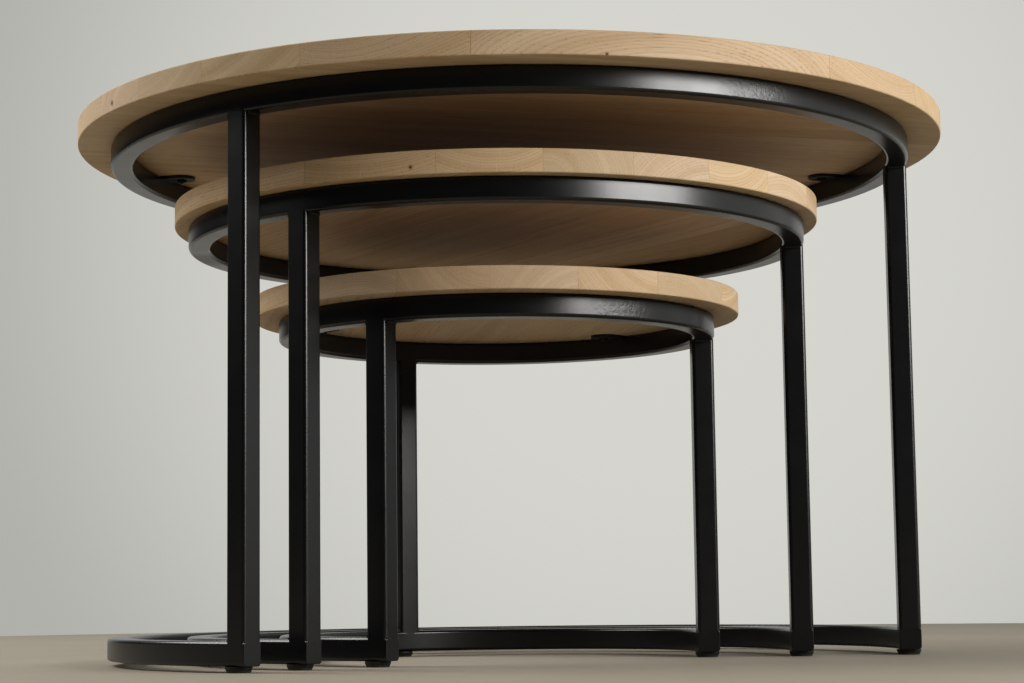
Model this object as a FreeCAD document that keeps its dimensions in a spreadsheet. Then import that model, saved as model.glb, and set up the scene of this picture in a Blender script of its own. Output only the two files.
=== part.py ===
"""Three round nesting tables with oak tops on frames of square steel tube.

Each table is an edge-glued oak disc, screwed from below to tabs inside a rolled ring of
square tube. Three tube legs stand on a rolled base arc, which is open at the front, so
that the next smaller table slides in between the two front legs. Plastic glides are
pressed into the underside of the arc.

Millimetres, +Z up. The origin is on the floor, under the middle of the large top. The
open side of the large table faces -Y.
"""
import FreeCAD, Part
import math
import os

import Sketcher

doc = FreeCAD.newDocument("nesting_tables")
TABLES = ("large", "middle", "small")


# ---- driving dimensions ------------------------------------------------------------------
# Every size that can be set by itself: name, value, what it is.

DRIVING = [
    ("large_diameter", "800", "large top, across"),
    ("large_height", "490", "large top's upper face above the floor"),
    ("top_thickness", "20", "oak top"),
    ("edge_ease", "1.2", "bevel along both rims of a top"),
    ("stave_width", "74", "one glued oak stave"),
    ("tube_side", "20", "square tube, outside"),
    ("tube_wall", "2", "square tube, wall"),
    ("tube_corner", "3", "square tube, outside corner radius"),
    ("front_leg_angle", "62", "each front leg, from the middle of the opening, degrees"),
    ("rear_leg_turn", "-1.5", "rear leg, from the middle of the back, degrees"),
    ("middle_clearance", "8", "each side of the middle top as it passes the large front legs"),
    ("small_clearance", "5.7", "each side of the small top as it passes the middle front legs"),
    ("cap_thickness", "2", "plate that closes an end of a base arc"),
    ("cap_ease", "0.8", "rounding of a closing plate's outer rim"),
    ("glide_height", "5", "glide below the base arc"),
    ("glide_top", "22", "glide's diameter at the tube"),
    ("glide_foot", "19", "glide's diameter on the floor"),
    ("glide_rim", "1.5", "upright rim above the glide's taper"),
    ("glide_stem", "8", "pressed stem, diameter"),
    ("glide_stem_length", "10", "pressed stem, above the tube's lower face"),
    ("glide_offset", "5", "glide's centre from the leg's centre, along the arc"),
    ("tab_width", "26", "fixing tab, along the ring"),
    ("tab_reach", "30", "fixing tab, from the ring's inner face"),
    ("tab_thickness", "3", "fixing tab, plate"),
    ("screw_shank", "4", "wood screw, shank diameter"),
    ("screw_bite", "13", "wood screw, length in the oak"),
    ("screw_tip", "4", "wood screw, length of the point"),
    ("screw_head", "9", "wood screw, head diameter"),
    ("screw_head_height", "3", "wood screw, head height"),
    ("screw_head_round", "2", "wood screw, rounding of the head"),
    ("screw_hole", "5", "clearance hole in a fixing tab"),
    ("recess_across", "2.4", "hexagon recess in the screw head, across flats"),
    ("recess_depth", "1.6", "hexagon recess, depth"),
    ("large_inset", "30", "large ring, in from the edge of its top"),
    ("middle_inset", "12.5", "middle ring, in from the edge of its top"),
    ("small_inset", "22.5", "small ring, in from the edge of its top"),
    ("middle_drop", "35", "gap from the large ring down to the middle top"),
    ("small_drop", "45", "gap from the middle ring down to the small top"),
    ("large_shift_x", "0", "where the large table stands"),
    ("large_shift_y", "0", "where the large table stands"),
    ("large_turn", "0", "large table's turn, degrees"),
    ("middle_shift_x", "-19.5", "where the middle table stands"),
    ("middle_shift_y", "-10.5", "where the middle table stands"),
    ("middle_turn", "1.5", "middle table's turn, degrees"),
    ("small_shift_x", "-23", "where the small table stands"),
    ("small_shift_y", "-16.5", "where the small table stands"),
    ("small_turn", "6", "small table's turn, degrees"),
    ("large_grain", "-7", "direction of the large top's staves, degrees"),
    ("middle_grain", "93.5", "direction of the middle top's staves, degrees"),
    ("small_grain", "69", "direction of the small top's staves, degrees"),
    ("large_first_joint", "0", "a glue line of the large top, from its middle"),
    ("middle_first_joint", "39", "a glue line of the middle top, from its middle"),
    ("small_first_joint", "-25", "a glue line of the small top, from its middle"),
    ("large_tabs", "5", "fixing tabs of the large ring"),
    ("middle_tabs", "3", "fixing tabs of the middle ring"),
    ("small_tabs", "3", "fixing tabs of the small ring"),
    ("large_first_tab", "356", "first fixing tab of the large ring, degrees"),
    ("middle_first_tab", "309", "first fixing tab of the middle ring, degrees"),
    ("small_first_tab", "19", "first fixing tab of the small ring, degrees"),
]

dimensions = doc.addObject("Spreadsheet::Sheet", "Dimensions")
for row, (alias, size, note) in enumerate(DRIVING, start=1):
    dimensions.set(f"A{row}", note)
    dimensions.set(f"B{row}", size)
    dimensions.setAlias(f"B{row}", alias)


# ---- sizes that follow from them -----------------------------------------------------------
# A smaller top is as wide as passes between the front legs of the next larger table, and as
# high as clears that table's ring.

def follow(table, radius, height):
    """Formulas of one table's sizes, from its top's radius and height."""
    angle = "Dimensions.front_leg_angle"
    side = "Dimensions.tube_side"
    gap = f"2 * {table}_leg_circle * sin({angle}) - {side} * (sin({angle}) + cos({angle}))"
    arc_degrees = f"180 / pi / {table}_leg_circle"
    return [
        (f"{table}_radius", radius),
        (f"{table}_height", height),
        (f"{table}_ring_radius", f"{table}_radius - Dimensions.{table}_inset"),
        (f"{table}_leg_circle", f"{table}_ring_radius - {side} / 2"),
        (f"{table}_bore_radius", f"{table}_ring_radius - {side}"),
        (f"{table}_gap", gap),
        (f"{table}_top_z", f"{table}_height - Dimensions.top_thickness"),
        (f"{table}_ring_z", f"{table}_top_z - {side}"),
        (f"{table}_leg_length", f"{table}_ring_z - Dimensions.glide_height - {side}"),
        (f"{table}_arc_overrun", f"({side} / 2 - Dimensions.cap_thickness) * {arc_degrees}"),
        (f"{table}_arc_sweep", f"360 - 2 * {angle} + 2 * {table}_arc_overrun"),
        (f"{table}_glide_turn", f"Dimensions.glide_offset * {arc_degrees}"),
    ]


FOLLOWING = follow("large", "Dimensions.large_diameter / 2", "Dimensions.large_height")
for larger, smaller in zip(TABLES, TABLES[1:]):
    passing_radius = f"{larger}_gap / 2 - Dimensions.{smaller}_clearance"
    cleared_height = f"{larger}_ring_z - Dimensions.{smaller}_drop"
    FOLLOWING += follow(smaller, passing_radius, cleared_height)

worked = doc.addObject("Spreadsheet::Sheet", "Worked")
for row, (alias, formula) in enumerate(FOLLOWING, start=1):
    worked.set(f"A{row}", alias.replace("_", " "))
    worked.setAlias(f"B{row}", alias)
for row, (alias, formula) in enumerate(FOLLOWING, start=1):
    worked.set(f"B{row}", f"={formula}")
doc.recompute()


def value(formula):
    """A formula on the two sheets, as a number."""
    return float(dimensions.evalExpression(formula))


# ---- building blocks -----------------------------------------------------------------------

def new_body(label):
    body = doc.addObject("PartDesign::Body", label)
    body.Label = label
    return body


def plane_sketch(body, role, name):
    """A sketch on one of the body's own origin planes."""
    sketch = body.newObject("Sketcher::SketchObject", name)
    plane = next(face for face in body.Origin.OriginFeatures if face.Role == role)
    sketch.AttachmentSupport = [(plane, "")]
    sketch.MapMode = "FlatFace"
    return sketch


def size(sketch, kind, places, formula, name):
    """A named size in a sketch, tied to the sheets."""
    index = sketch.addConstraint(Sketcher.Constraint(kind, *places, value(formula)))
    sketch.renameConstraint(index, name)
    sketch.setExpression(f"Constraints.{name}", formula)


def line(sketch, start, end):
    return sketch.addGeometry(Part.LineSegment(FreeCAD.Vector(*start, 0), FreeCAD.Vector(*end, 0)))


def rounded_square(sketch, left, side, corner, name, below=None):
    """A square with rounded corners, its left side at `left` from the vertical axis.

    Its lower side is `below` under the horizontal axis. Without `below`, an outer square
    stands on that axis and an inner one stands one tube wall above it.
    """
    x = value(left)
    width = value(side)
    curve = value(corner)
    rise = "Dimensions.tube_wall" if name == "inner" else "0"
    y = value(rise) if below is None else -value(below)
    sides = []
    corners = []
    centre = (x + width / 2, y + width / 2)
    reach = width / 2 - curve
    for quarter in range(4):
        turn = math.radians(90 * quarter)

        def spot(along, out):
            return (centre[0] + along * math.cos(turn) + out * math.sin(turn),
                    centre[1] + along * math.sin(turn) - out * math.cos(turn))

        sides.append(line(sketch, spot(-reach, width / 2), spot(reach, width / 2)))
        middle = FreeCAD.Vector(*spot(reach, reach), 0)
        circle = Part.Circle(middle, FreeCAD.Vector(0, 0, 1), curve)
        arc = Part.ArcOfCircle(circle, turn - math.pi / 2, turn)
        corners.append(sketch.addGeometry(arc))
    for quarter in range(4):
        following = sides[(quarter + 1) % 4]
        direction = "Horizontal" if quarter % 2 == 0 else "Vertical"
        sketch.addConstraint(Sketcher.Constraint("Tangent", sides[quarter], 2, corners[quarter], 1))
        sketch.addConstraint(Sketcher.Constraint("Tangent", corners[quarter], 2, following, 1))
        sketch.addConstraint(Sketcher.Constraint(direction, sides[quarter]))
    for other in corners[1:]:
        sketch.addConstraint(Sketcher.Constraint("Equal", corners[0], other))
    size(sketch, "Radius", (corners[0],), corner, f"{name}_corner")
    size(sketch, "DistanceX", (sides[3], 1, sides[1], 1), side, f"{name}_width")
    size(sketch, "DistanceY", (sides[0], 1, sides[2], 1), side, f"{name}_depth")
    size(sketch, "DistanceX", (-1, 1, sides[3], 1), left, f"{name}_left")
    if below is not None:
        size(sketch, "DistanceY", (sides[0], 1, -1, 1), below, f"{name}_below")
    elif name == "inner":
        size(sketch, "DistanceY", (-1, 1, sides[0], 1), rise, f"{name}_rise")
    else:
        sketch.addConstraint(Sketcher.Constraint("PointOnObject", sides[0], 1, -1))


def tube_section(sketch, outer_left, below=None):
    """The hollow section of the square tube: outer and inner squares."""
    side = "Dimensions.tube_side"
    wall = "Dimensions.tube_wall"
    inner_side = f"{side} - 2 * {wall}"
    inner_corner = f"Dimensions.tube_corner - {wall}"
    inner_below = None if below is None else f"{below} - {wall}"
    rounded_square(sketch, outer_left, side, "Dimensions.tube_corner", "outer", below)
    rounded_square(sketch, f"{outer_left} + {wall}", inner_side, inner_corner, "inner", inner_below)


def place(piece, table, lift, turn):
    """Stands a piece in its table: on the table's own axis, at a height, turned."""
    piece.setExpression("Placement.Base.x", f"Dimensions.{table}_shift_x")
    piece.setExpression("Placement.Base.y", f"Dimensions.{table}_shift_y")
    piece.setExpression("Placement.Base.z", lift)
    piece.setExpression("Placement.Rotation.Angle", f"Dimensions.{table}_turn + {turn}")


def stand_on_circle(piece, table, radius, angle):
    """Stands a piece, unturned, on a circle about its table's axis."""
    full_turn = f"(Dimensions.{table}_turn + {angle})"
    piece.setExpression("Placement.Base.x", f"Dimensions.{table}_shift_x + {radius} * cos({full_turn})")
    piece.setExpression("Placement.Base.y", f"Dimensions.{table}_shift_y + {radius} * sin({full_turn})")


def circular_edges(shape, radius):
    """Names of a shape's edges that are circles of one radius."""
    names = []
    for number, edge in enumerate(shape.Edges, start=1):
        if isinstance(edge.Curve, Part.Circle) and abs(edge.Curve.Radius - radius) < 0.001:
            names.append(f"Edge{number}")
    return names


def turned(body, points, name):
    """A solid of revolution about Z from its half outline, a list of formula pairs.

    Each pair is a radius and a height. The first and the last points lie on the axis.
    """
    sketch = plane_sketch(body, "XZ_Plane", f"{name}_outline")
    spots = [(value(radius), value(height)) for radius, height in points]
    edges = [line(sketch, spots[i], spots[(i + 1) % len(spots)]) for i in range(len(spots))]
    for i, edge in enumerate(edges):
        following = edges[(i + 1) % len(edges)]
        sketch.addConstraint(Sketcher.Constraint("Coincident", edge, 2, following, 1))
    for i, (radius, height) in enumerate(points):
        if spots[i][0] == 0:
            sketch.addConstraint(Sketcher.Constraint("PointOnObject", edges[i], 1, -2))
        else:
            size(sketch, "DistanceX", (-1, 1, edges[i], 1), radius, f"radius_{i}")
        if spots[i][1] == 0:
            sketch.addConstraint(Sketcher.Constraint("PointOnObject", edges[i], 1, -1))
        elif spots[i][1] > 0:
            size(sketch, "DistanceY", (-1, 1, edges[i], 1), height, f"height_{i}")
        else:
            size(sketch, "DistanceY", (edges[i], 1, -1, 1), f"-({height})", f"depth_{i}")
    spun = body.newObject("PartDesign::Revolution", name)
    spun.Profile = sketch
    spun.ReferenceAxis = (sketch, ["V_Axis"])
    spun.Angle = 360
    return spun


subparts = []


# ---- frames: top ring, legs, base arc and its end caps ---------------------------------------

def make_ring(table):
    """The ring under the top: square tube rolled to a full circle and welded shut."""
    body = new_body(f"{table}_top_ring")
    sketch = plane_sketch(body, "XZ_Plane", f"{table}_ring_section")
    tube_section(sketch, f"Worked.{table}_bore_radius")
    rolled = body.newObject("PartDesign::Revolution", f"{table}_rolled_ring")
    rolled.Profile = sketch
    rolled.ReferenceAxis = (sketch, ["V_Axis"])
    rolled.Angle = 360
    place(body, table, f"Worked.{table}_ring_z", "0")
    subparts.append(body)


def make_leg(table, side, angle):
    """A leg: a straight length of the tube, between the base arc and the ring."""
    body = new_body(f"{table}_{side}_leg")
    sketch = plane_sketch(body, "XY_Plane", f"{table}_{side}_leg_section")
    tube_section(sketch, f"Worked.{table}_bore_radius", "Dimensions.tube_side / 2")
    cut_length = body.newObject("PartDesign::Pad", f"{table}_{side}_leg_length")
    cut_length.Profile = sketch
    cut_length.setExpression("Length", f"Worked.{table}_leg_length")
    place(body, table, "Dimensions.glide_height + Dimensions.tube_side", angle)
    subparts.append(body)


def make_arc(table, leg_angles):
    """The base: tube rolled to an arc from front leg to front leg, round the back."""
    body = new_body(f"{table}_base_arc")
    sketch = plane_sketch(body, "XZ_Plane", f"{table}_arc_section")
    tube_section(sketch, f"Worked.{table}_bore_radius")
    rolled = body.newObject("PartDesign::Revolution", f"{table}_rolled_arc")
    rolled.Profile = sketch
    rolled.ReferenceAxis = (sketch, ["V_Axis"])
    rolled.setExpression("Angle", f"Worked.{table}_arc_sweep")
    start = f"Dimensions.front_leg_angle - 90 - Worked.{table}_arc_overrun"
    place(body, table, "Dimensions.glide_height", start)
    doc.recompute()
    swept = rolled.Shape.Volume

    # A hole through the lower wall for each glide's stem.
    for side, angle in leg_angles.items():
        holes = plane_sketch(body, "XY_Plane", f"{table}_{side}_stem_hole_outline")
        turn = f"({angle} - ({start}))"
        across = f"Worked.{table}_leg_circle * cos({turn})"
        along = f"Worked.{table}_leg_circle * sin({turn})"
        centre = FreeCAD.Vector(value(across), value(along), 0)
        hole = holes.addGeometry(Part.Circle(centre, FreeCAD.Vector(0, 0, 1), 1))
        size(holes, "Radius", (hole,), "Dimensions.glide_stem / 2", "stem_radius")
        for kind, formula in (("DistanceX", across), ("DistanceY", along)):
            forward = value(formula) >= 0
            places = (-1, 1, hole, 3) if forward else (hole, 3, -1, 1)
            signed = formula if forward else f"-({formula})"
            size(holes, kind, places, signed, f"centre_{kind[-1].lower()}")
        pocket = body.newObject("PartDesign::Pocket", f"{table}_{side}_stem_hole")
        pocket.Profile = holes
        pocket.Reversed = True
        pocket.setExpression("Length", "Dimensions.tube_wall")
        doc.recompute()
    one_hole = math.pi * value("Dimensions.glide_stem / 2") ** 2 * value("Dimensions.tube_wall")
    drilled = len(leg_angles) * one_hole
    if abs(swept - body.Shape.Volume - drilled) > 0.01 * drilled:
        raise RuntimeError(f"{body.Label}: the stem holes miss the lower wall")
    subparts.append(body)


def make_cap(table, side, turn, backwards):
    """The plate welded over an open end of the base arc."""
    body = new_body(f"{table}_{side}_end_cap")
    sketch = plane_sketch(body, "XZ_Plane", f"{table}_{side}_cap_outline")
    rounded_square(sketch, f"Worked.{table}_bore_radius", "Dimensions.tube_side",
                   "Dimensions.tube_corner", "outer")
    plate = body.newObject("PartDesign::Pad", f"{table}_{side}_cap_plate")
    plate.Profile = sketch
    plate.setExpression("Length", "Dimensions.cap_thickness")
    plate.Reversed = backwards
    doc.recompute()
    outer_y = plate.Shape.BoundBox.YMax if backwards else plate.Shape.BoundBox.YMin
    rim = []
    for number, edge in enumerate(plate.Shape.Edges, start=1):
        if max(abs(edge.BoundBox.YMax - outer_y), abs(edge.BoundBox.YMin - outer_y)) < 0.001:
            rim.append(f"Edge{number}")
    eased = body.newObject("PartDesign::Fillet", f"{table}_{side}_cap_rim")
    eased.Base = (plate, rim)
    eased.setExpression("Radius", "Dimensions.cap_ease")
    body.Tip = eased
    place(body, table, "Dimensions.glide_height", turn)
    subparts.append(body)


# ---- glides ------------------------------------------------------------------------------------

def make_glide(table, side, angle):
    """A moulded glide: a tapered foot and a stem pressed up into the base arc."""
    body = new_body(f"{table}_{side}_glide")
    outline = [
        ("0", "0"),
        ("Dimensions.glide_foot / 2", "0"),
        ("Dimensions.glide_top / 2", "Dimensions.glide_height - Dimensions.glide_rim"),
        ("Dimensions.glide_top / 2", "Dimensions.glide_height"),
        ("Dimensions.glide_stem / 2", "Dimensions.glide_height"),
        ("Dimensions.glide_stem / 2", "Dimensions.glide_height + Dimensions.glide_stem_length"),
        ("0", "Dimensions.glide_height + Dimensions.glide_stem_length"),
    ]
    turned(body, outline, f"{table}_{side}_glide_turned")
    stand_on_circle(body, table, f"Worked.{table}_leg_circle", angle)
    subparts.append(body)


# ---- fixing tabs and screws ----------------------------------------------------------------------

def make_tab(table, number, angle):
    """A plate tab inside the ring: its root follows the ring, its tip is round."""
    body = new_body(f"{table}_fixing_tab_{number}")
    sketch = plane_sketch(body, "XY_Plane", f"{table}_tab_{number}_outline")
    bore = value(f"Worked.{table}_bore_radius")
    half = value("Dimensions.tab_width / 2")
    tip = value(f"Worked.{table}_bore_radius - Dimensions.tab_reach + Dimensions.tab_width / 2")
    root_x = math.sqrt(bore ** 2 - half ** 2)
    spread = math.asin(half / bore)
    origin = FreeCAD.Vector(0, 0, 0)
    up = FreeCAD.Vector(0, 0, 1)
    root = sketch.addGeometry(Part.ArcOfCircle(Part.Circle(origin, up, bore), -spread, spread))
    upper = line(sketch, (root_x, half), (tip, half))
    nose = sketch.addGeometry(
        Part.ArcOfCircle(Part.Circle(FreeCAD.Vector(tip, 0, 0), up, half), math.pi / 2, 3 * math.pi / 2))
    lower = line(sketch, (tip, -half), (root_x, -half))
    hole = sketch.addGeometry(Part.Circle(FreeCAD.Vector(tip, 0, 0), up, half / 3))
    sketch.addConstraint(Sketcher.Constraint("Coincident", root, 3, -1, 1))
    sketch.addConstraint(Sketcher.Constraint("Coincident", root, 2, upper, 1))
    sketch.addConstraint(Sketcher.Constraint("Tangent", upper, 2, nose, 1))
    sketch.addConstraint(Sketcher.Constraint("Tangent", nose, 2, lower, 1))
    sketch.addConstraint(Sketcher.Constraint("Coincident", lower, 2, root, 1))
    sketch.addConstraint(Sketcher.Constraint("Horizontal", upper))
    sketch.addConstraint(Sketcher.Constraint("PointOnObject", nose, 3, -1))
    sketch.addConstraint(Sketcher.Constraint("Coincident", hole, 3, nose, 3))
    size(sketch, "Radius", (root,), f"Worked.{table}_bore_radius", "root_radius")
    size(sketch, "Radius", (nose,), "Dimensions.tab_width / 2", "nose_radius")
    size(sketch, "Radius", (hole,), "Dimensions.screw_hole / 2", "hole_radius")
    size(sketch, "DistanceX", (-1, 1, nose, 3),
         f"Worked.{table}_bore_radius - Dimensions.tab_reach + Dimensions.tab_width / 2", "nose_centre")
    plate = body.newObject("PartDesign::Pad", f"{table}_tab_{number}_plate")
    plate.Profile = sketch
    plate.setExpression("Length", "Dimensions.tab_thickness")
    place(body, table, f"Worked.{table}_top_z - Dimensions.tab_thickness", angle)
    subparts.append(body)


def screw_circle(table):
    return f"(Worked.{table}_bore_radius - Dimensions.tab_reach + Dimensions.tab_width / 2)"


def make_screw(table, number, angle):
    """A pan-head wood screw, pointing up: heights are from the underside of the tab."""
    body = new_body(f"{table}_screw_{number}")
    shank = "Dimensions.screw_shank / 2"
    head = "Dimensions.screw_head / 2"
    end = "Dimensions.tab_thickness + Dimensions.screw_bite"
    outline = [
        ("0", "-Dimensions.screw_head_height"),
        (head, "-Dimensions.screw_head_height"),
        (head, "0"),
        (shank, "0"),
        (shank, f"{end} - Dimensions.screw_tip"),
        ("0", end),
    ]
    spun = turned(body, outline, f"{table}_screw_{number}_turned")
    doc.recompute()
    rims = circular_edges(spun.Shape, value(head))
    lowest = min(rims, key=lambda rim: spun.Shape.getElement(rim).BoundBox.ZMin)
    domed = body.newObject("PartDesign::Fillet", f"{table}_screw_{number}_dome")
    domed.Base = (spun, [lowest])
    domed.setExpression("Radius", "Dimensions.screw_head_round")
    doc.recompute()
    recess = plane_sketch(body, "XY_Plane", f"{table}_screw_{number}_recess_outline")
    recess.setExpression("AttachmentOffset.Base.z", "-Dimensions.screw_head_height")
    across = value("Dimensions.recess_across")
    corner = across / math.sqrt(3)
    corners = [(corner * math.cos(math.radians(60 * i)), corner * math.sin(math.radians(60 * i)))
               for i in range(6)]
    guide = recess.addGeometry(Part.Circle(FreeCAD.Vector(0, 0, 0), FreeCAD.Vector(0, 0, 1), corner))
    recess.toggleConstruction(guide)
    flats = [line(recess, corners[i], corners[(i + 1) % 6]) for i in range(6)]
    recess.addConstraint(Sketcher.Constraint("Coincident", guide, 3, -1, 1))
    for i in range(6):
        recess.addConstraint(Sketcher.Constraint("Coincident", flats[i], 2, flats[(i + 1) % 6], 1))
        recess.addConstraint(Sketcher.Constraint("PointOnObject", flats[i], 1, guide))
    for i in range(1, 6):
        recess.addConstraint(Sketcher.Constraint("Equal", flats[0], flats[i]))
    recess.addConstraint(Sketcher.Constraint("PointOnObject", flats[0], 1, -1))
    size(recess, "Radius", (guide,), "Dimensions.recess_across / sqrt(3)", "recess_corner")
    pocket = body.newObject("PartDesign::Pocket", f"{table}_screw_{number}_recess")
    pocket.Profile = recess
    pocket.Reversed = True
    pocket.setExpression("Length", "Dimensions.recess_depth")
    doc.recompute()
    if body.Shape.Volume >= domed.Shape.Volume:
        raise RuntimeError(f"{body.Label}: the recess misses the head")
    stand_on_circle(body, table, screw_circle(table), angle)
    body.setExpression("Placement.Base.z", f"Worked.{table}_top_z - Dimensions.tab_thickness")
    return body


# ---- oak tops ------------------------------------------------------------------------------------

def make_top(table, first_tab, tab_count):
    """The top: a disc with bevelled rims and pilot holes, cut from edge-glued staves."""
    blank = new_body(f"{table}_top_blank")
    outline = plane_sketch(blank, "XY_Plane", f"{table}_top_outline")
    radius = f"Worked.{table}_radius"
    rim = outline.addGeometry(
        Part.Circle(FreeCAD.Vector(0, 0, 0), FreeCAD.Vector(0, 0, 1), value(radius)))
    outline.addConstraint(Sketcher.Constraint("Coincident", rim, 3, -1, 1))
    size(outline, "Radius", (rim,), radius, "rim_radius")
    board = blank.newObject("PartDesign::Pad", f"{table}_board")
    board.Profile = outline
    board.setExpression("Length", "Dimensions.top_thickness")
    doc.recompute()
    eased = blank.newObject("PartDesign::Chamfer", f"{table}_eased_rims")
    eased.Base = (board, circular_edges(board.Shape, value(radius)))
    eased.setExpression("Size", "Dimensions.edge_ease")
    doc.recompute()
    whole = eased.Shape.Volume

    # One pilot hole, repeated round the screw circle.
    pilot_outline = plane_sketch(blank, "XY_Plane", f"{table}_pilot_outline")
    centre = FreeCAD.Vector(value(screw_circle(table)), 0, 0)
    pilot = pilot_outline.addGeometry(Part.Circle(centre, FreeCAD.Vector(0, 0, 1), 1))
    pilot_outline.addConstraint(Sketcher.Constraint("PointOnObject", pilot, 3, -1))
    size(pilot_outline, "Radius", (pilot,), "Dimensions.screw_shank / 2", "pilot_radius")
    size(pilot_outline, "DistanceX", (-1, 1, pilot, 3), screw_circle(table), "pilot_circle")
    drilled = blank.newObject("PartDesign::Pocket", f"{table}_pilot_hole")
    drilled.Profile = pilot_outline
    drilled.Reversed = True
    drilled.setExpression("Length", "Dimensions.screw_bite")
    doc.recompute()
    around = blank.newObject("PartDesign::PolarPattern", f"{table}_pilot_holes")
    around.Originals = [drilled]
    around.Axis = (pilot_outline, ["N_Axis"])
    around.Angle = 360
    around.Occurrences = tab_count
    blank.Tip = around
    place(blank, table, f"Worked.{table}_top_z", first_tab)
    doc.recompute()
    one_hole = math.pi * value("Dimensions.screw_shank / 2") ** 2 * value("Dimensions.screw_bite")
    expected = tab_count * one_hole
    if abs(whole - blank.Shape.Volume - expected) > 0.01 * expected:
        raise RuntimeError(f"{blank.Label}: the pilot holes are not all there")

    # The staves: strips along the grain, edge to edge across the disc.
    half_width = value(radius)
    stave = value("Dimensions.stave_width")
    joint = value(f"Dimensions.{table}_first_joint")
    lowest = math.floor((-half_width - joint) / stave)
    highest = math.ceil((half_width - joint) / stave)
    grain = f"(Dimensions.{table}_turn + Dimensions.{table}_grain)"
    staves = []
    for index in range(lowest, highest):
        strip = doc.addObject("Part::Box", f"{table}_strip_{index - lowest + 1}")
        strip.setExpression("Length", f"2 * {radius}")
        strip.setExpression("Width", "Dimensions.stave_width")
        strip.setExpression("Height", "Dimensions.top_thickness")
        across = f"(Dimensions.{table}_first_joint + {index} * Dimensions.stave_width)"
        corner_x = f"Dimensions.{table}_shift_x - {radius} * cos({grain}) - {across} * sin({grain})"
        corner_y = f"Dimensions.{table}_shift_y - {radius} * sin({grain}) + {across} * cos({grain})"
        strip.setExpression("Placement.Base.x", corner_x)
        strip.setExpression("Placement.Base.y", corner_y)
        strip.setExpression("Placement.Base.z", f"Worked.{table}_top_z")
        strip.setExpression("Placement.Rotation.Angle", grain)
        cut_stave = doc.addObject("Part::Common", f"{table}_stave_{index - lowest + 1}")
        cut_stave.Base = blank
        cut_stave.Tool = strip
        staves.append(cut_stave)
    top = doc.addObject("Part::Compound", f"{table}_top")
    top.Links = staves
    subparts.append(top)


# ---- the three tables ------------------------------------------------------------------------------

for table in TABLES:
    right = "(Dimensions.front_leg_angle - 90)"
    left = "(270 - Dimensions.front_leg_angle)"
    rear = "(90 + Dimensions.rear_leg_turn)"
    leg_angles = {"left": left, "rear": rear, "right": right}
    glide_angles = {
        "left": f"({left} - Worked.{table}_glide_turn)",
        "rear": f"({rear} + Worked.{table}_glide_turn)",
        "right": f"({right} + Worked.{table}_glide_turn)",
    }
    make_ring(table)
    make_arc(table, glide_angles)
    for side, angle in leg_angles.items():
        make_leg(table, side, angle)
    make_cap(table, "left", f"{left} + Worked.{table}_arc_overrun", True)
    make_cap(table, "right", f"{right} - Worked.{table}_arc_overrun", False)
    for side, angle in glide_angles.items():
        make_glide(table, side, angle)

    tab_count = round(value(f"Dimensions.{table}_tabs"))
    tab_angles = [f"(Dimensions.{table}_first_tab + {number} * 360 / {tab_count})"
                  for number in range(tab_count)]
    screws = []
    for number, angle in enumerate(tab_angles, start=1):
        make_tab(table, number, angle)
        screws.append(make_screw(table, number, angle))
    screw_group = doc.addObject("Part::Compound", f"{table}_top_screws")
    screw_group.Links = screws
    subparts.append(screw_group)
    make_top(table, tab_angles[0], tab_count)

doc.recompute()


# ---- checks, then one file for each sub-part -------------------------------------------------------

for item in doc.Objects:
    if "Invalid" in item.State or "Error" in item.State:
        raise RuntimeError(f"{item.Label}: {item.State}")
for piece in subparts:
    if piece.Shape.isNull() or not piece.Shape.isValid():
        raise RuntimeError(f"{piece.Label}: no valid shape")

os.makedirs("parts", exist_ok=True)
for piece in subparts:
    piece.Shape.exportStep(f"parts/{piece.Label}.step")
    box = piece.Shape.BoundBox
    print(f"{piece.Label:24s} {len(piece.Shape.Solids):2d} solid {piece.Shape.Volume / 1000:9.2f} cm3"
          f"  x {box.XMin:7.1f} {box.XMax:7.1f}  y {box.YMin:7.1f} {box.YMax:7.1f}"
          f"  z {box.ZMin:6.1f} {box.ZMax:6.1f}")
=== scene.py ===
"""Three round oak nesting tables on frames of black square steel tube, in a plain studio."""
import math

import bmesh
import bpy
from mathutils import Matrix, Vector


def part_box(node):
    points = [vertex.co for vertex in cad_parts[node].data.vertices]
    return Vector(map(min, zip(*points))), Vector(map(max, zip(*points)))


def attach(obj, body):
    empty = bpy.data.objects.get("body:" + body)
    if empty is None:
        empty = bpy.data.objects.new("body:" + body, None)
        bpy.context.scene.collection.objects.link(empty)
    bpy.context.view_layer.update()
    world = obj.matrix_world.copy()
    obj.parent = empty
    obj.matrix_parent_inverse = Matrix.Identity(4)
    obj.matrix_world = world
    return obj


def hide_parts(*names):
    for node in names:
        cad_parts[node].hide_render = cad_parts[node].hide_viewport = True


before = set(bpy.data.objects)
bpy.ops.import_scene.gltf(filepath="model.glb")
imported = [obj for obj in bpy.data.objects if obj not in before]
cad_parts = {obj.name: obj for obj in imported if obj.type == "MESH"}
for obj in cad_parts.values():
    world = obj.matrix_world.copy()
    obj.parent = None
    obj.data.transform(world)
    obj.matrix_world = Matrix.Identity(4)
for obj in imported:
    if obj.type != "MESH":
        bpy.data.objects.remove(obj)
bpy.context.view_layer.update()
TABLES = ("large", "middle", "small")


# ---- black powder coat -------------------------------------------------------------------------
# Every steel piece is sprayed with satin black powder and baked. The film has a fine orange
# peel, is a little thinner and shinier on the tube's corners, and shows the ground butt weld
# that closes a rolled ring as a patch of coarser dimples.

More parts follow.
